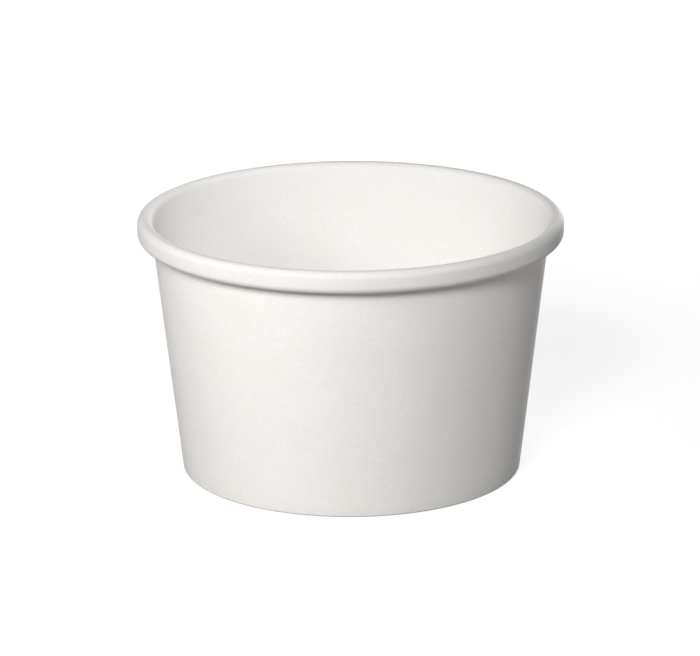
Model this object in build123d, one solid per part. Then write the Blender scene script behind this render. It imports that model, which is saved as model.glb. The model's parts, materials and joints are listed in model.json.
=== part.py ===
from build123d import *
from math import asin, atan2, cos, degrees, hypot, radians, sin, tan
import os

# Paper sundae cup: a wrapped board sidewall with a rolled rim, and a bottom disc sealed into its hem.
# Millimetres. The origin is the centre of the base ring, +Z points up, and the lap seam is on the +X side.

# Overall form
RIM_DIAMETER = 95.0       # across the outside of the rolled rim
BASE_DIAMETER = 76.0      # across the outside of the wall at the table
HEIGHT = 58.4             # from the table to the top of the rim

# Rolled rim
BEAD_WIDTH = 3.35         # across the top of the roll, from the wall's lining to the outer flank
BEAD_HEIGHT = 5.0         # from the underside of the roll to its top
CURL_GAP = 0.05           # between the free edge of the roll and the wall behind it
ROLL_FACETS = 6           # straight runs in each half turn of the roll's outside
CORE_FACETS = 3           # straight runs in each half turn of the hollow inside the roll

# Board
WALL_BOARD = 0.40         # thickness of the sidewall blank
BOTTOM_BOARD = 0.36       # thickness of the bottom blank
SEAL_FILM = 0.02          # melted lining on each side of the skirt

# Side seam
SEAM_ANGLE = 20.0         # degrees round from +X to the place where the wall starts to rise over its other end
LAP_WIDTH = 7.0           # overlap of the two ends of the blank, measured round the base
RISE_WIDTH = 4.0          # length in which the outer end climbs over the inner one, measured round the base

# Base
BASE_RECESS = 6.0         # from the table to the underside of the bottom disc
HEM_SETBACK = 0.9         # from the disc's underside down to the cut edge of the hem
SKIRT_CLEARANCE = 0.3     # from the inside of the fold up to the cut edge of the skirt

HALF_TURN = 180.0
FULL_TURN = 360.0

# The wall leans out so that its outer face touches the inside of the roll
rim_radius = RIM_DIAMETER / 2
base_radius = BASE_DIAMETER / 2
roll_radius = BEAD_WIDTH / 2
roll_centre = (rim_radius - roll_radius, HEIGHT - roll_radius)
roll_offset = roll_centre[0] - base_radius
roll_reach = hypot(roll_offset, roll_centre[1])
taper = atan2(roll_offset, roll_centre[1]) - asin((roll_radius - WALL_BOARD) / roll_reach)

# Layers at the seam and in the hem
lap_board = WALL_BOARD + WALL_BOARD
skirt_pocket = BOTTOM_BOARD + SEAL_FILM + SEAL_FILM
hem_top = BASE_RECESS - HEM_SETBACK
skirt_bottom = lap_board + SKIRT_CLEARANCE


def wall_point(height, depth):
    """Point of the section at a height, at a depth behind the wall's lining; depths below zero are inside."""
    return (base_radius + height * tan(taper) + (depth - WALL_BOARD) / cos(taper), height)


def arc_points(centre, radius, start, stop, facets):
    """Points along an arc of the section, from one angle to another, that cut it into equal straight runs."""
    angles = [radians(start + (stop - start) * i / facets) for i in range(facets + 1)]
    return [(centre[0] + radius * cos(a), centre[1] + radius * sin(a)) for a in angles]


def tuck_radius(outer):
    """Radius under the roll that lays its free edge along a wall whose outer face is at the given depth."""
    room = (rim_radius - base_radius - (HEIGHT - BEAD_HEIGHT) * tan(taper)) * cos(taper)
    return (room + WALL_BOARD - outer - CURL_GAP) / (1 + cos(taper) + sin(taper))


def roll_side(depth, outer, facets):
    """One side of the rolled rim: up over the top, down the flank, and round below until it meets the wall."""
    lean = degrees(taper)
    tuck = tuck_radius(outer)
    tuck_centre = (rim_radius - tuck, HEIGHT - BEAD_HEIGHT + tuck)
    return [
        *arc_points(roll_centre, roll_radius - depth, HALF_TURN - lean, 0, facets),
        *arc_points(tuck_centre, tuck - depth, 0, -HALF_TURN - lean, facets),
    ]


def board_section(lining, outer):
    """Section of the sidewall between two depths: rolled rim, wall, fold and hem in one run of board."""
    hem_lining = -skirt_pocket - lining
    hem_outer = -skirt_pocket - outer
    points = [
        *roll_side(lining, outer, ROLL_FACETS),
        *reversed(roll_side(outer, outer, CORE_FACETS)),
        wall_point(WALL_BOARD, outer),
        wall_point(0, outer - WALL_BOARD),
        wall_point(0, hem_outer),
        wall_point(hem_top, hem_outer),
        wall_point(hem_top, hem_lining),
        wall_point(outer - lining, hem_lining),
        wall_point(outer - lining, lining),
    ]
    return Plane.XZ * make_face(Polyline(points, close=True))


def make_sidewall():
    """Wrap the board once round: a single layer, a lap of two layers, and the rise from one to the other."""
    rise_angle = degrees(RISE_WIDTH / base_radius)
    lap_angle = degrees(LAP_WIDTH / base_radius)
    single = Rot(0, 0, SEAM_ANGLE) * board_section(0, WALL_BOARD)
    raised = Rot(0, 0, SEAM_ANGLE - rise_angle) * board_section(WALL_BOARD, lap_board)
    double = Rot(0, 0, SEAM_ANGLE - rise_angle - lap_angle) * board_section(0, lap_board)
    wall = revolve(single, Axis.Z, FULL_TURN - rise_angle - lap_angle)
    rise = loft([raised, single], ruled=True)
    lap = revolve(double, Axis.Z, lap_angle)
    return wall + rise + lap


def make_bottom_disc():
    """Turn the bottom blank: a flat disc whose edge bends down into a skirt that follows the wall."""
    top = BASE_RECESS + BOTTOM_BOARD
    skirt_outer = -SEAL_FILM
    skirt_inner = skirt_outer - BOTTOM_BOARD
    points = [
        (0, top),
        wall_point(top, skirt_inner),
        wall_point(BASE_RECESS, skirt_outer),
        wall_point(skirt_bottom, skirt_outer),
        wall_point(skirt_bottom, skirt_inner),
        wall_point(BASE_RECESS, skirt_inner),
        (0, BASE_RECESS),
    ]
    return revolve(Plane.XZ * make_face(Polyline(points, close=True)), Axis.Z, FULL_TURN)


sidewall = make_sidewall()
bottom_disc = make_bottom_disc()

os.makedirs("parts", exist_ok=True)
export_step(sidewall, "parts/sidewall.step")
export_step(bottom_disc, "parts/bottom_disc.step")

print(f"the wall leans out {degrees(taper):.2f} degrees")
print(f"sidewall {sidewall.volume:.1f} cubic mm, bottom disc {bottom_disc.volume:.1f} cubic mm")
print(f"flank of the rim from {HEIGHT - BEAD_HEIGHT + tuck_radius(WALL_BOARD):.3f} up to {roll_centre[1]:.3f}")
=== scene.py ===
# %% [markdown]
# # A paper sundae cup
# The cup is two blanks of coated white board. The sidewall is wrapped into a cone with a lapped seam, rolled
# outwards at the rim and turned in as a hem at the base. The bottom is a shallow tray whose skirt is sealed
# into that hem. The frame holds both as solids of the true size, with the round turns cut into short straight
# runs. This lesson draws each blank again as a smooth mesh on the same sizes, gives the board its finishes,
# and sets up a plain white studio with a camera at the photograph's viewing angle.

# %% Load the frame
import json
from math import asin, atan2, cos, hypot, pi, radians, sin, tan

import bpy
from mathutils import Euler, Matrix, Vector


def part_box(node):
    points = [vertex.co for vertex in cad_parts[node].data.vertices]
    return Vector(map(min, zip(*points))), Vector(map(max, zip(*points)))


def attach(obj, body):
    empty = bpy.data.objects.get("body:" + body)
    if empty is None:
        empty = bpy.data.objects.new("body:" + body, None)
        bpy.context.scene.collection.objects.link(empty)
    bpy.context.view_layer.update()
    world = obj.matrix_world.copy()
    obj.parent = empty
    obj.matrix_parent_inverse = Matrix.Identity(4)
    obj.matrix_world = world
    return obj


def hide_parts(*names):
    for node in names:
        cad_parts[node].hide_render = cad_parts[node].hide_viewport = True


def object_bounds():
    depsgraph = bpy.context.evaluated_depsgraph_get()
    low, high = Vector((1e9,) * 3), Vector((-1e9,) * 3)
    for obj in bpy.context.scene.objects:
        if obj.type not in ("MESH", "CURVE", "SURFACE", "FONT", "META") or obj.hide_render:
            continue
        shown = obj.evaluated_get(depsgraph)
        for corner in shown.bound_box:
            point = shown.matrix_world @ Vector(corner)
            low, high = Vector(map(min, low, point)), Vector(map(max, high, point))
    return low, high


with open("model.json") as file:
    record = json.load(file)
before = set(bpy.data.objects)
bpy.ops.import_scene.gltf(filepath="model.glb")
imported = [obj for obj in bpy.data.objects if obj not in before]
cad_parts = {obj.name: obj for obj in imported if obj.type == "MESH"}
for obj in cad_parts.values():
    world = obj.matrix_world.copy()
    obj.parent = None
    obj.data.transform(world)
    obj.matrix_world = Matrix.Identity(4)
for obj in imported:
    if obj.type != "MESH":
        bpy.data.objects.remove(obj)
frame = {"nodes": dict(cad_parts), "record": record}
cad_box = [list(corner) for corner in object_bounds()]
print("nodes in the frame:", sorted(frame["nodes"]))
print("box of the frame in metres:", cad_box)

# %% [markdown]
# ## Sizes
# A cup maker starts from the rim, the base and the height, because lids and trays have to fit them. These
# could be typed in again, but then the mesh and the solid could drift apart. So they are measured on the
# frame: the rim on the seat for a lid, the height on the box, and the foot of the wall on the side away from
# the seam. What no box can show, such as the thickness of the board, is named here in metres.

# %% Sizes from the frame, and sizes of the board
WALL_BOARD = 0.00040      # thickness of the sidewall blank
BOTTOM_BOARD = 0.00036    # thickness of the bottom blank
SEAL_FILM = 0.00002       # melted lining on each side of the skirt
BEAD_WIDTH = 0.00335      # across the top of the roll
BEAD_HEIGHT = 0.0050      # from the underside of the roll to its top
CURL_GAP = 0.00005        # between the free edge of the roll and the wall
FOOT_BAND = 0.002         # the foot of the wall is looked for below this height
MM_PER_METRE = 1000       # the record gives the radius of the lid's seat in millimetres


def widest_foot(node):
    """Vertex of a node that is furthest from the axis, near the table and on the -X side."""
    low = [v.co for v in frame["nodes"][node].data.vertices if v.co.z < FOOT_BAND and v.co.x < 0]
    return max(low, key=lambda point: hypot(point.x, point.y))


lid_seat = next(mount for mount in frame["record"]["mounts"] if mount["name"] == "lid_seat")
rim_radius = lid_seat["dims"]["r_mm"] / MM_PER_METRE
height = cad_box[1][2]
foot = widest_foot("sidewall")
foot_radius = hypot(foot.x, foot.y)
disc_low, disc_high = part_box("bottom_disc")
print(f"rim {rim_radius:.5f}, height {height:.5f}, foot {foot_radius:.5f} at {foot.z:.5f}")

# %% [markdown]
# ## The lean of the wall
# The wall is a cone whose outer face touches the inside of the roll at the top, so its lean isn't free: it
# follows from the foot, the roll and the board. One line gives it, and one function then gives any point of
# the section from a height and a depth behind the lining. Depths below zero lie inside the cup, which is
# where the hem and the skirt are.

# %% The roll, the lean and a point of the wall
roll_radius = BEAD_WIDTH / 2
roll_centre = (rim_radius - roll_radius, height - roll_radius)
roll_offset = (roll_centre[0] - foot_radius, roll_centre[1] - foot.z)
taper = atan2(*roll_offset) - asin((roll_radius - WALL_BOARD) / hypot(*roll_offset))
base_radius = foot_radius - foot.z * tan(taper)


def wall_point(level, depth):
    """Point (radius, height) of the section at a height, at a depth behind the lining of the wall."""
    return (base_radius + level * tan(taper) + (depth - WALL_BOARD) / cos(taper), level)


print(f"base radius {base_radius:.5f}, lean {taper:.4f} radians")

# %% [markdown]
# ## Straight runs and round turns
# A section of bent board is made of straight runs and round turns only. Curves with handles could draw it,
# but they only come near a true arc. Two small helpers give the points of a run and of a turn. Each leaves
# its last point to the next stretch, so that stretches join with no point twice.

# %% Runs and turns
def on_arc(centre, radius, turn):
    """Point of a circle in the section, at an angle from straight out."""
    return (centre[0] + radius * cos(turn), centre[1] + radius * sin(turn))


def arc(centre, radius, start, stop, steps):
    """Points along a round turn, without its last one."""
    return [on_arc(centre, radius, start + (stop - start) * i / steps) for i in range(steps)]


def run(start, stop, steps):
    """Points along a straight run, without its last one."""
    shares = [i / steps for i in range(steps)]
    return [tuple(a + (b - a) * share for a, b in zip(start, stop)) for share in shares]


print("a quarter turn in two steps:", arc((0, 0), 1, 0, pi / 2, 2))

# %% [markdown]
# ## Section of the sidewall
# Follow the board once round its own edge. It goes up the lining, over the roll and round under it to the cut
# edge, back inside the roll, down the outer face, round the fold at the table, up the hem to its cut edge
# and down again to the start. At the rim the lining is outside, because the board is rolled outwards. Where
# the board is lapped, the hot rolling tool irons the step at the rim almost flat, so the lining's depth fades
# on the way up. A Solidify modifier could thicken a single line instead, but the fading step would need a
# weight for every point. Each point also says which finish it starts: lining, face, hem or raw edge.

# %% Section of the sidewall between two depths
HEM_SETBACK = 0.0009      # from the underside of the bottom disc down to the cut edge of the hem
IRONED_LENGTH = 0.012     # stretch of the wall below the roll in which a step in the lining fades
IRONED_SHARE = 0.2        # share of that step that is left at the roll
WALL_STEPS = 12           # steps up the lining to the ironed stretch
IRONED_STEPS = 8          # steps along the ironed stretch
ROLL_STEPS = 20           # steps in each turn of the roll's outside
CORE_STEPS = 12           # steps in each turn of the hollow in the roll
FOLD_STEPS = 12           # steps in the fold at the table
HEM_STEPS = 10            # steps along each side of the hem
SHORT_STEPS = 2           # steps across a cut edge, and down the flank of the roll

skirt_pocket = BOTTOM_BOARD + SEAL_FILM + SEAL_FILM
base_recess = disc_high.z - BOTTOM_BOARD
hem_top = base_recess - HEM_SETBACK


def tuck_radius(outer):
    """Radius under the roll that lays its free edge along a wall whose face is at the given depth."""
    room = (rim_radius - base_radius - (height - BEAD_HEIGHT) * tan(taper)) * cos(taper)
    return (room + WALL_BOARD - outer - CURL_GAP) / (1 + cos(taper) + sin(taper))


def sidewall_section(lining, outer):
    """Points (radius, height, finish, share of the stretch) of the board between two depths."""
    tuck = tuck_radius(outer)
    tuck_centre = (rim_radius - tuck, height - BEAD_HEIGHT + tuck)
    fold_outer = outer + skirt_pocket / 2
    fold_lining = lining + skirt_pocket / 2
    fold_centre = wall_point(fold_outer, -skirt_pocket / 2)
    wall_top = pi - taper
    tuck_end = -pi - taper
    fold_start = -taper
    fold_end = -pi - taper
    roll_in = roll_radius - lining * IRONED_SHARE
    roll_out = roll_radius - outer
    tuck_in = tuck - lining * IRONED_SHARE
    tuck_out = tuck - outer
    wall_low = on_arc(fold_centre, fold_lining, fold_start)
    wall_ironed = wall_point(height - BEAD_HEIGHT - IRONED_LENGTH, lining)
    wall_high = on_arc(roll_centre, roll_in, wall_top)
    face_high = on_arc(roll_centre, roll_out, wall_top)
    face_low = on_arc(fold_centre, fold_outer, fold_start)
    free_in = on_arc(tuck_centre, tuck_in, tuck_end)
    free_out = on_arc(tuck_centre, tuck_out, tuck_end)
    hem_low = on_arc(fold_centre, fold_outer, fold_end)
    hem_face = wall_point(hem_top, -skirt_pocket - outer)
    hem_lining = wall_point(hem_top, -skirt_pocket - lining)
    hem_fold = on_arc(fold_centre, fold_lining, fold_end)
    stretches = [
        ("lining", run(wall_low, wall_ironed, WALL_STEPS)),
        ("lining", run(wall_ironed, wall_high, IRONED_STEPS)),
        ("lining", arc(roll_centre, roll_in, wall_top, 0, ROLL_STEPS)),
        ("lining", run(on_arc(roll_centre, roll_in, 0), on_arc(tuck_centre, tuck_in, 0), SHORT_STEPS)),
        ("lining", arc(tuck_centre, tuck_in, 0, tuck_end, ROLL_STEPS)),
        ("edge", run(free_in, free_out, SHORT_STEPS)),
        ("face", arc(tuck_centre, tuck_out, tuck_end, 0, CORE_STEPS)),
        ("face", run(on_arc(tuck_centre, tuck_out, 0), on_arc(roll_centre, roll_out, 0), SHORT_STEPS)),
        ("face", arc(roll_centre, roll_out, 0, wall_top, CORE_STEPS)),
        ("face", run(face_high, face_low, WALL_STEPS + IRONED_STEPS)),
        ("face", arc(fold_centre, fold_outer, fold_start, fold_end, FOLD_STEPS)),
        ("hem", run(hem_low, hem_face, HEM_STEPS)),
        ("edge", run(hem_face, hem_lining, SHORT_STEPS)),
        ("lining", run(hem_lining, hem_fold, HEM_STEPS)),
        ("lining", arc(fold_centre, fold_lining, fold_end, fold_start, FOLD_STEPS)),
    ]
    return [
        (*point, finish, i / len(points))
        for finish, points in stretches
        for i, point in enumerate(points)
    ]


print("points in a section:", len(sidewall_section(0, WALL_BOARD)))

# %% [markdown]
# ## Round the cup, through the seam
# One end of the blank lies on the other along a seam. Going round, the board is first two layers thick, then
# the inner layer stops at its cut edge, and the outer one comes down over a few millimetres to the single
# wall. The lap could be a strip laid on a turned cone, but then the rim and the hem would miss their step. So
# the section itself changes along the way. Where a layer is cut, two columns stand a hair apart.

# %% Columns round the cup
SEAM_ANGLE = radians(20)  # from +X to the place where the single wall begins
LAP_WIDTH = 0.007         # overlap of the two ends of the blank, round the base
RISE_WIDTH = 0.004        # length in which the outer end comes down beside the lap
CUT_WIDTH = 0.00005       # between the two columns at a cut edge
LAP_COLUMNS = 16          # steps across the lap
RISE_COLUMNS = 8          # steps beside it, where the outer end comes down
WALL_COLUMNS = 502        # steps along the single wall

lap_board = 2 * WALL_BOARD
lap_angle = LAP_WIDTH / base_radius
rise_angle = RISE_WIDTH / base_radius
cut_angle = CUT_WIDTH / base_radius


def ease(share):
    """Share that starts and ends without a kink."""
    return share * share * (3 - 2 * share)


def sidewall_columns():
    """Angles round the cup, each with the depths of the two faces of the board there."""
    columns = []
    lap_start = SEAM_ANGLE - rise_angle - lap_angle
    for i in range(LAP_COLUMNS + 1):
        columns.append((lap_start + lap_angle * i / LAP_COLUMNS, 0, lap_board))
    for i in range(RISE_COLUMNS):
        share = i / RISE_COLUMNS
        lift = WALL_BOARD * (1 - ease(share))
        angle = SEAM_ANGLE - (rise_angle - cut_angle) * (1 - share)
        columns.append((angle, lift, lift + WALL_BOARD))
    single_angle = 2 * pi - rise_angle - lap_angle - cut_angle
    for i in range(WALL_COLUMNS + 1):
        columns.append((SEAM_ANGLE + single_angle * i / WALL_COLUMNS, 0, WALL_BOARD))
    return columns


print("columns round the cup:", len(sidewall_columns()))

# %% [markdown]
# ## Marks of the machine
# A cup is never turned on a lathe. The rim wanders by less than a tenth of a millimetre, and the hem is
# pressed against the skirt by a ribbed roller, which leaves fine upright ribs on its inside. Noise could
# shift the points, but slow waves and evenly spaced ribs are nearer to what the machine does, and come out
# the same each time.

# %% Wander of the wall and ribs on the hem
WANDER = 0.00005          # size of the largest slow wave at the rim
RIB_DEPTH = 0.00010       # depth of the pressed ribs
COLUMNS_PER_RIB = 4       # columns of the mesh from one rib to the next
WAVES = ((2, 0.7, 1.0), (3, 2.1, 0.6), (5, 0.4, 0.4))    # count round the cup, start in radians, share


def wander(angle, level):
    """Shift of the board away from the axis, none at the table and most at the rim."""
    waves = sum(share * sin(count * angle + start) for count, start, share in WAVES)
    return WANDER * waves * level / height


def rib(column, share):
    """Depth of the roller's mark in a column, at a share of the hem's height."""
    return RIB_DEPTH * sin(pi * share) * (1 + cos(2 * pi * column / COLUMNS_PER_RIB)) / 2


widest_wander = max(abs(wander(angle, height)) for angle, lining, outer in sidewall_columns())
print(f"widest wander {widest_wander:.6f}")

# %% [markdown]
# ## Mesh of the sidewall
# The columns become a grid of four-sided faces that closes both ways, like the skin of a ring. Blender could
# bridge the sections one by one, but in a grid the number of a face says where it lies. So the lining, the
# face and the raw edges get their own finish by their stretch of the section, and the two places where a
# layer ends count as raw edges too. Edges sharper than a third of a right angle stay crisp, and the rest is
# smooth.

# %% Helpers for a mesh
SHARP_ANGLE = radians(30)


def grid_faces(columns, rows, closed):
    """Four-sided faces of a grid that goes round the cup, with its last row joined to the first if closed."""
    for column in range(columns):
        here = column * rows
        there = (column + 1) % columns * rows
        for row in range(rows if closed else rows - 1):
            above = (row + 1) % rows
            yield (here + row, here + above, there + above, there + row)


def mesh_object(name, points, faces):
    """Put a mesh into the scene, smooth but for its sharp edges."""
    mesh = bpy.data.meshes.new(name)
    mesh.from_pydata(points, [], faces)
    mesh.polygons.foreach_set("use_smooth", [True] * len(mesh.polygons))
    mesh.set_sharp_from_angle(angle=SHARP_ANGLE)
    piece = bpy.data.objects.new(name, mesh)
    bpy.context.scene.collection.objects.link(piece)
    return piece


print("faces of a closed grid of three by four:", len(list(grid_faces(3, 4, closed=True))))

# %% [markdown]
# ## The sidewall
# Every point is set out from the axis by its place in the section, the wander of the wall and, on the hem,
# the depth of a rib. A Displace modifier could add the last two, but it moves points along their normals, so
# a wave of the wall would part its two sides. Here both sides move out together. The finish of each face is
# kept as the number of its material.

# %% Build the sidewall
FINISHES = ("lining", "face", "edge")    # in the order of their material numbers


def finish_at(column, finish, columns):
    """Finish of the face that starts in a column: cut ends of the blank show its raw edge."""
    if column == LAP_COLUMNS and finish == "lining":
        return "edge"
    if column == columns - 1 and finish in ("face", "hem"):
        return "edge"
    return "face" if finish == "hem" else finish


def build_sidewall():
    """The wrapped blank, with the finish of each face kept as its material number."""
    columns = sidewall_columns()
    points = []
    finishes = []
    for column, (angle, lining, outer) in enumerate(columns):
        for radius, level, finish, share in sidewall_section(lining, outer):
            press = rib(column, share) if finish == "hem" else 0
            reach = radius + wander(angle, level) + press
            points.append((reach * cos(angle), reach * sin(angle), level))
            finishes.append(FINISHES.index(finish_at(column, finish, len(columns))))
    rows = len(points) // len(columns)
    piece = mesh_object("cup_sidewall", points, list(grid_faces(len(columns), rows, closed=True)))
    piece.data.polygons.foreach_set("material_index", finishes)
    return piece


cup_sidewall = build_sidewall()
print("faces of the sidewall:", len(cup_sidewall.data.polygons))

# %% [markdown]
# ## Section of the bottom disc
# The bottom blank is drawn down over a plug: a flat floor, a soft bend and a skirt that follows the wall. A
# plate with a bevelled edge could stand for it, but then the skirt would be missing from below. So its
# section is made of runs and turns too. The floor is crowned a little, as it comes off the plug.

# %% Section of the bottom disc
BEND_RADIUS = 0.0009      # outside radius of the bend between floor and skirt
FLOOR_CROWN = 0.00012     # rise of the floor from the bend to the axis
FLOOR_STEPS = 24          # steps from the axis to the bend
BEND_STEPS = 10           # steps in the bend
SKIRT_STEPS = 6           # steps down the skirt


def crown(radius, edge):
    """Rise of the floor at a radius, none from its edge outwards."""
    return FLOOR_CROWN * ease(max(0, 1 - radius / edge))


def disc_section():
    """Points (radius, height, finish) of the disc, from next to the axis on top to next to it below."""
    bend_centre = wall_point(disc_high.z - BEND_RADIUS, -SEAL_FILM - BEND_RADIUS)
    bend_inside = BEND_RADIUS - BOTTOM_BOARD
    cut_outer = wall_point(disc_low.z, -SEAL_FILM)
    cut_inner = wall_point(disc_low.z, -SEAL_FILM - BOTTOM_BOARD)
    floor_edge = on_arc(bend_centre, BEND_RADIUS, pi / 2)
    under_edge = on_arc(bend_centre, bend_inside, pi / 2)
    stretches = [
        ("lining", run((0, floor_edge[1]), floor_edge, FLOOR_STEPS)[1:]),
        ("lining", arc(bend_centre, BEND_RADIUS, pi / 2, -taper, BEND_STEPS)),
        ("lining", run(on_arc(bend_centre, BEND_RADIUS, -taper), cut_outer, SKIRT_STEPS)),
        ("edge", run(cut_outer, cut_inner, SHORT_STEPS)),
        ("face", run(cut_inner, on_arc(bend_centre, bend_inside, -taper), SKIRT_STEPS)),
        ("face", arc(bend_centre, bend_inside, -taper, pi / 2, BEND_STEPS)),
        ("face", run(under_edge, (0, under_edge[1]), FLOOR_STEPS)),
    ]
    return [
        (radius, level + crown(radius, floor_edge[0]), finish)
        for finish, points in stretches
        for radius, level in points
    ]


print("points in the section of the disc:", len(disc_section()))

# %% [markdown]
# ## The bottom disc
# The section starts and ends next to the axis, so Blender's Screw modifier could turn it. A plain grid with a
# fan at each pole is used instead, because it keeps the two faces and the cut edge apart, as on the sidewall.

# %% Build the bottom disc
DISC_COLUMNS = 264        # columns of the mesh round the disc


def build_disc():
    """The drawn bottom blank, closed at the axis by a fan on each side."""
    section = disc_section()
    rows = len(section)
    points = []
    for column in range(DISC_COLUMNS):
        angle = 2 * pi * column / DISC_COLUMNS
        points.extend((radius * cos(angle), radius * sin(angle), level) for radius, level, finish in section)
    faces = list(grid_faces(DISC_COLUMNS, rows, closed=False))
    finishes = [FINISHES.index(finish) for radius, level, finish in section[:-1]] * DISC_COLUMNS
    top = len(points)
    under = top + 1
    points.append((0, 0, disc_high.z + FLOOR_CROWN))
    points.append((0, 0, base_recess + FLOOR_CROWN))
    for column in range(DISC_COLUMNS):
        here = column * rows
        there = (column + 1) % DISC_COLUMNS * rows
        faces.append((top, here, there))
        faces.append((under, there + rows - 1, here + rows - 1))
        finishes.extend((FINISHES.index("lining"), FINISHES.index("face")))
    piece = mesh_object("cup_bottom", points, faces)
    piece.data.polygons.foreach_set("material_index", finishes)
    return piece


cup_bottom = build_disc()
print("faces of the bottom:", len(cup_bottom.data.polygons))

# %% [markdown]
# ## Fibres of the board
# White board is a felt of fibres under a thin coat. Close up it has a fine speckled grain, and over larger
# patches the pulp lies a little cloudy. An image could show both, but it would have an end and a seam. Two
# sizes of noise in the object's own space have neither. Both tint the board, the grain more than the clouds,
# and the grain also has a height. Every finish of the cup uses them, so they are one group with its own
# scales as inputs.

# %% Group: board fibres
CLOUDS_PER_METRE = 90.0   # scale of the clouds
CLOUD_DETAIL = 3.0        # finer layers of noise in the clouds
GRAINS_PER_METRE = 1200.0  # scale of the grain of smooth board
GRAIN_DETAIL = 4.0        # finer layers of noise in the grain
GRAIN_WEIGHT = 2.0        # how much more the grain tints the board than the clouds do
TINT_RANGE = (1.1, 1.9)   # weighted sum of both, where the tint starts and where it is full


def start_group(name, inputs, outputs):
    """Start a shader group with named sockets, and return its tree and its two end nodes."""
    tree = bpy.data.node_groups.new(name, "ShaderNodeTree")
    for title, value in inputs.items():
        tree.interface.new_socket(title, in_out="INPUT", socket_type="NodeSocketFloat").default_value = value
    for title in outputs:
        tree.interface.new_socket(title, in_out="OUTPUT", socket_type="NodeSocketFloat")
    return tree, tree.nodes.new("NodeGroupInput"), tree.nodes.new("NodeGroupOutput")


def noise(tree, place, scale, detail):
    """Noise at a scale taken from a socket, as a value from 0 to 1."""
    node = tree.nodes.new("ShaderNodeTexNoise")
    node.inputs["Detail"].default_value = detail
    tree.links.new(place, node.inputs["Vector"])
    tree.links.new(scale, node.inputs["Scale"])
    return node.outputs["Fac"]


def make_board_fibres():
    """Group that puts out the tint of the board and the height of its grain."""
    scales = {"Clouds per metre": CLOUDS_PER_METRE, "Grains per metre": GRAINS_PER_METRE}
    tree, start, end = start_group("board fibres", scales, ("Tint", "Grain"))
    place = tree.nodes.new("ShaderNodeTexCoord").outputs["Object"]
    cloud = noise(tree, place, start.outputs["Clouds per metre"], CLOUD_DETAIL)
    grain = noise(tree, place, start.outputs["Grains per metre"], GRAIN_DETAIL)
    both = tree.nodes.new("ShaderNodeMath")
    both.operation = "MULTIPLY_ADD"
    both.inputs[1].default_value = GRAIN_WEIGHT
    tree.links.new(grain, both.inputs[0])
    tree.links.new(cloud, both.inputs[2])
    tint = tree.nodes.new("ShaderNodeMapRange")
    tint.inputs["From Min"].default_value = TINT_RANGE[0]
    tint.inputs["From Max"].default_value = TINT_RANGE[1]
    tree.links.new(both.outputs["Value"], tint.inputs["Value"])
    tree.links.new(tint.outputs["Result"], end.inputs["Tint"])
    tree.links.new(grain, end.inputs["Grain"])
    return tree


board_fibres = make_board_fibres()
print("sockets of the group:", [item.name for item in board_fibres.interface.items_tree])

# %% [markdown]
# ## Finishes
# All the finishes are white board, and differ in small things. The lining has a thin sealing film that evens
# out the grain, the outer face is coated board, the underside of the bottom is bare board, and the cut edges
# show the creamy core. Each could have nodes of its own, but a change would then be made five times. So one
# function places the group, mixes two close whites by the tint, and lets the grain set the roughness and a
# shallow bump.

# %% Make the finishes
BOARD_SHINE = 0.2         # board scatters light in its felt, so little is left for a mirror-like part


def make_board(name, pale, tinted, roughness, grain_depth, grains=GRAINS_PER_METRE):
    """White board: two close colours, a range of roughness, depth of the grain and its count per metre."""
    material = bpy.data.materials.new(name)
    material.use_nodes = True
    tree = material.node_tree
    shader = tree.nodes["Principled BSDF"]
    shader.inputs["Specular IOR Level"].default_value = BOARD_SHINE
    fibres = tree.nodes.new("ShaderNodeGroup")
    fibres.node_tree = board_fibres
    fibres.inputs["Grains per metre"].default_value = grains
    colour = tree.nodes.new("ShaderNodeMix")
    colour.data_type = "RGBA"
    colour.inputs["A"].default_value = (*pale, 1)
    colour.inputs["B"].default_value = (*tinted, 1)
    tree.links.new(fibres.outputs["Tint"], colour.inputs["Factor"])
    tree.links.new(colour.outputs["Result"], shader.inputs["Base Color"])
    sheen = tree.nodes.new("ShaderNodeMapRange")
    sheen.inputs["To Min"].default_value = roughness[0]
    sheen.inputs["To Max"].default_value = roughness[1]
    tree.links.new(fibres.outputs["Grain"], sheen.inputs["Value"])
    tree.links.new(sheen.outputs["Result"], shader.inputs["Roughness"])
    bump = tree.nodes.new("ShaderNodeBump")
    bump.inputs["Distance"].default_value = grain_depth
    tree.links.new(fibres.outputs["Grain"], bump.inputs["Height"])
    tree.links.new(bump.outputs["Normal"], shader.inputs["Normal"])
    return material


# Pale and tinted colour of the lining, the outer face, the underside and the cut edges
FILM = ((0.852, 0.843, 0.828), (0.83, 0.811, 0.782))
COATED = ((0.928, 0.914, 0.892), (0.902, 0.874, 0.836))
BARE = ((0.87, 0.852, 0.822), (0.85, 0.828, 0.79))
CORE = ((0.80, 0.775, 0.72), (0.74, 0.70, 0.63))
wall_lining = make_board("wall_lining", *FILM, roughness=(0.72, 0.84), grain_depth=0.00003)
wall_face = make_board("wall_face", *COATED, roughness=(0.76, 0.90), grain_depth=0.00004)
bottom_lining = make_board("bottom_lining", *FILM, roughness=(0.72, 0.84), grain_depth=0.00003)
bottom_face = make_board("bottom_face", *BARE, roughness=(0.80, 0.94), grain_depth=0.00006, grains=1400.0)
raw_edge = make_board("raw_edge", *CORE, roughness=(0.85, 0.98), grain_depth=0.00008, grains=5200.0)
print("finishes:", [material.name for material in bpy.data.materials if material.node_tree])

# %% [markdown]
# ## Dress the frame
# Each mesh takes its finishes in the order of their numbers, stands for its solid, and rides on the one body
# of the cup. The solids could stay under the meshes, but two skins in one place show through each other.
# Nothing moves on a cup, so no piece has a joint to follow.

# %% Finishes and places of the pieces
def dress(piece, node, materials):
    """Give a piece its finishes and let it stand for its solid."""
    for material in materials:
        piece.data.materials.append(material)
    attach(piece, "root")
    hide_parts(node)
    print(piece.name, "stands for", node)


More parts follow.
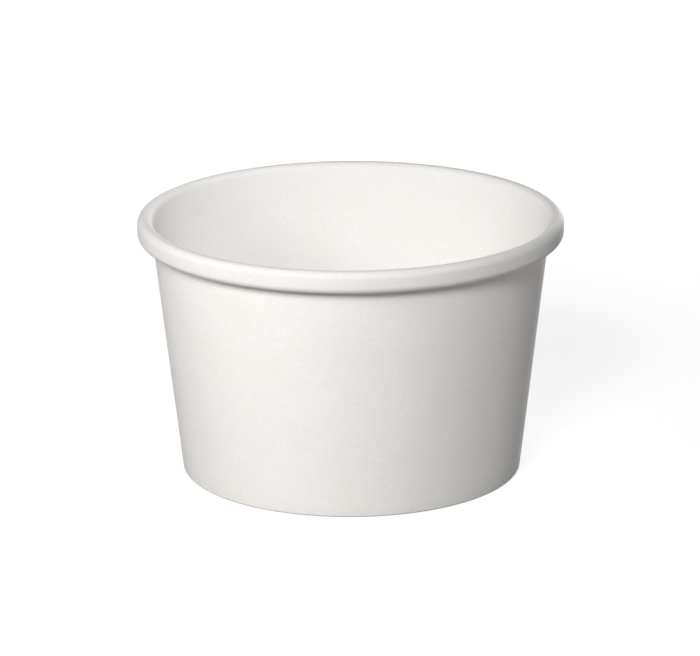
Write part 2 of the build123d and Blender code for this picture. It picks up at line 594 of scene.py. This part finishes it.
dress(cup_sidewall, "sidewall", (wall_lining, wall_face, raw_edge))
dress(cup_bottom, "bottom_disc", (bottom_lining, bottom_face, raw_edge))

# %% [markdown]
# ## White studio
# The photograph has a pure white background. Strong lamps could burn the floor out, but they would burn the
# white cup too. So the floor and the world show their white only to the camera and to mirrors, and light the
# cup with much less. Both use one helper that tells these rays from the rest.

# %% Rays that see the studio
DIRECT_RAYS = ("Is Camera Ray", "Is Glossy Ray", "Is Transmission Ray")


def seen_directly(tree):
    """Socket that is 1 for rays from the camera, mirrors and glass, and 0 for rays that light things."""
    path = tree.nodes.new("ShaderNodeLightPath")
    total = path.outputs[DIRECT_RAYS[0]]
    for name in DIRECT_RAYS[1:]:
        add = tree.nodes.new("ShaderNodeMath")
        add.operation = "ADD"
        add.use_clamp = True
        tree.links.new(total, add.inputs[0])
        tree.links.new(path.outputs[name], add.inputs[1])
        total = add.outputs["Value"]
    return total


print("rays that see the white of the studio:", DIRECT_RAYS)

# %% [markdown]
# ## Floor
# The cup stands on a wide pale floor. A floor that only glows would be white, but it would lose the cup's
# shadow. So a plain diffuse part is added to the glow, and the glow is a little weaker round the cup, so that
# the shadow isn't washed out.

# %% Floor
FLOOR_HALF = 3.0          # half the width of the floor
FLOOR_DROP = 0.00001      # from the foot of the cup to the floor
FLOOR_GREY = 0.35         # grey of the diffuse part, which takes the shadow
GLOW_NEAR = 0.80          # glow of the floor under the cup
GLOW_FAR = 1.0            # glow of the floor far from it
GLOW_REACH = (0.08, 0.45)  # distances between which the one turns into the other


def glow_by_distance(tree):
    """Socket with the strength of the floor's glow, by the distance from the cup."""
    place = tree.nodes.new("ShaderNodeTexCoord")
    away = tree.nodes.new("ShaderNodeVectorMath")
    away.operation = "LENGTH"
    tree.links.new(place.outputs["Object"], away.inputs[0])
    glow = tree.nodes.new("ShaderNodeMapRange")
    glow.interpolation_type = "SMOOTHSTEP"
    glow.inputs["From Min"].default_value = GLOW_REACH[0]
    glow.inputs["From Max"].default_value = GLOW_REACH[1]
    glow.inputs["To Min"].default_value = GLOW_NEAR
    glow.inputs["To Max"].default_value = GLOW_FAR
    tree.links.new(away.outputs["Value"], glow.inputs["Value"])
    return glow.outputs["Result"]


def make_floor_white():
    """Pale material that glows only where it is looked at."""
    material = bpy.data.materials.new("floor_white")
    material.use_nodes = True
    tree = material.node_tree
    tree.nodes.clear()
    plain = tree.nodes.new("ShaderNodeBsdfDiffuse")
    plain.inputs["Color"].default_value = (FLOOR_GREY, FLOOR_GREY, FLOOR_GREY, 1)
    glow = tree.nodes.new("ShaderNodeEmission")
    level = tree.nodes.new("ShaderNodeMath")
    level.operation = "MULTIPLY"
    tree.links.new(seen_directly(tree), level.inputs[0])
    tree.links.new(glow_by_distance(tree), level.inputs[1])
    tree.links.new(level.outputs["Value"], glow.inputs["Strength"])
    both = tree.nodes.new("ShaderNodeAddShader")
    tree.links.new(plain.outputs["BSDF"], both.inputs[0])
    tree.links.new(glow.outputs["Emission"], both.inputs[1])
    end = tree.nodes.new("ShaderNodeOutputMaterial")
    tree.links.new(both.outputs["Shader"], end.inputs["Surface"])
    return material


sides = ((-1, -1), (1, -1), (1, 1), (-1, 1))
corners = [(x * FLOOR_HALF, y * FLOOR_HALF, -FLOOR_DROP) for x, y in sides]
floor = mesh_object("floor", corners, [(0, 1, 2, 3)])
floor.data.materials.append(make_floor_white())
print("floor at", -FLOOR_DROP)

# %% [markdown]
# ## World
# A view that is level with the cup looks past the floor into the world. One white background could fill it,
# but that much light from all round would wash out the shading of the cup. So a white one is shown to the
# rays that see the studio, and a dim one lights the cup.

# %% World
WHITE = (1, 1, 1, 1)
WORLD_LEVEL = 0.03        # light of the world on the cup


def make_world():
    """World that is white to the camera and dim to the cup."""
    world = bpy.data.worlds.new("studio")
    world.use_nodes = True
    tree = world.node_tree
    tree.nodes.clear()
    dim = tree.nodes.new("ShaderNodeBackground")
    dim.inputs["Color"].default_value = WHITE
    dim.inputs["Strength"].default_value = WORLD_LEVEL
    white = tree.nodes.new("ShaderNodeBackground")
    white.inputs["Color"].default_value = WHITE
    choose = tree.nodes.new("ShaderNodeMixShader")
    tree.links.new(seen_directly(tree), choose.inputs["Fac"])
    tree.links.new(dim.outputs["Background"], choose.inputs[1])
    tree.links.new(white.outputs["Background"], choose.inputs[2])
    end = tree.nodes.new("ShaderNodeOutputWorld")
    tree.links.new(choose.outputs["Shader"], end.inputs["Surface"])
    return world


bpy.context.scene.world = make_world()
print("world:", bpy.context.scene.world.name)

# %% [markdown]
# ## Softboxes
# The photograph is lit from the front left. A lamp over the camera's left gives most of the light and the
# dark line under the roll, and a small one close to the left makes the wall brightest high on that side. A
# faint one keeps the right side grey. Suns would do for the shading, but their light doesn't fade with
# distance. A lamp behind the cup serves views from the back. It stands low, so that it doesn't light the top
# of the rim. Each lamp's level is what it adds to a white card that faces it.

# %% Softboxes
CUP_MIDDLE = Vector((0, 0, 0.03))
NEUTRAL = (1, 1, 1)
WARM = (1.0, 0.99, 0.977)
COOL = (0.97, 0.985, 1.0)


def hang(name, lamp, azimuth, elevation, distance, aim):
    """Hang a lamp at degrees round from the camera side, rightwards, and degrees up, facing its aim."""
    holder = bpy.data.objects.new(name, lamp)
    turn = radians(azimuth)
    rise = radians(elevation)
    away = Vector((sin(turn) * cos(rise), -cos(turn) * cos(rise), sin(rise)))
    holder.location = aim + away * distance
    holder.rotation_euler = away.to_track_quat("Z", "Y").to_euler()
    holder.visible_camera = False
    bpy.context.scene.collection.objects.link(holder)
    print(f"{name}: {lamp.energy:.2f} watts")


def softbox(name, azimuth, elevation, distance, size, level, colour=NEUTRAL):
    """Square lamp that faces the middle of the cup, with its watts from its level and distance."""
    lamp = bpy.data.lights.new(name, "AREA")
    lamp.size = size
    lamp.color = colour
    lamp.energy = level * pi * pi * distance * distance
    hang(name, lamp, azimuth, elevation, distance, CUP_MIDDLE)


softbox("left_softbox", azimuth=-50, elevation=28, distance=0.38, size=0.14, level=0.38, colour=WARM)
softbox("front_softbox", azimuth=-12, elevation=32, distance=0.90, size=0.24, level=0.645)
softbox("right_softbox", azimuth=80, elevation=20, distance=0.60, size=0.30, level=0.115, colour=COOL)
softbox("back_softbox", azimuth=162, elevation=4, distance=0.90, size=0.13, level=0.85)

# %% [markdown]
# ## Beams
# The inside of the cup is nearly as bright as its face. Wide lamps over it could do that, but they would
# light the rim and the right side far more. So two round beams reach inside. One from straight above falls on
# the floor of the cup, which passes its light on to the lining. One from the right, over the rim, falls on
# the left of the lining.

# %% Beams
CUP_FLOOR = Vector((0, 0, disc_high.z))
LINING_LEFT = Vector((-0.036, 0.018, 0.044))
BEAM_REACH = 0.50         # from a beam's lamp to where it falls
BEAM_SOURCE = 0.02        # radius of a beam's lamp


def beam(name, azimuth, elevation, aim, radius, fade, level):
    """Round lamp whose cone falls on a circle round its aim, and fades over a share of that circle."""
    lamp = bpy.data.lights.new(name, "SPOT")
    lamp.spot_size = 2 * atan2(radius, BEAM_REACH)
    lamp.spot_blend = fade
    lamp.shadow_soft_size = BEAM_SOURCE
    lamp.energy = level * 4 * pi * pi * BEAM_REACH * BEAM_REACH
    hang(name, lamp, azimuth, elevation, BEAM_REACH, aim)


beam("floor_beam", azimuth=0, elevation=90, aim=CUP_FLOOR, radius=disc_high.x, fade=0.5, level=0.34)
beam("lining_beam", azimuth=72, elevation=42, aim=LINING_LEFT, radius=0.042, fade=1.0, level=0.30)

# %% [markdown]
# ## Camera
# The view looks down on the cup by about 17 degrees, with a long lens well away from it, as for a product
# picture. A wide lens close by would swell the rim. The aim, the lens and the small roll were found by laying
# the outline of the cup over the photograph.

# %% Camera
VIEW_ELEVATION = radians(16.94)
VIEW_ROLL = radians(-0.28)
VIEW_DISTANCE = 1.0       # from the camera to its aim
VIEW_AIM = Vector((-0.00023, 0, 0.03175))
VIEW_LENS = 229.0         # millimetres, on the usual 36 mm sensor


def make_camera():
    """Camera on the -Y side, looking along +Y and down on the cup."""
    data = bpy.data.cameras.new("camera")
    data.lens = VIEW_LENS
    camera = bpy.data.objects.new("camera", data)
    turn = Euler((pi / 2 - VIEW_ELEVATION, 0, 0)).to_matrix() @ Matrix.Rotation(VIEW_ROLL, 3, "Z")
    camera.matrix_world = turn.to_4x4()
    camera.location = VIEW_AIM + turn @ Vector((0, 0, VIEW_DISTANCE))
    bpy.context.scene.collection.objects.link(camera)
    bpy.context.scene.camera = camera
    return camera


print("camera at", make_camera().location)
bpy.context.scene.view_settings.view_transform = "Standard"
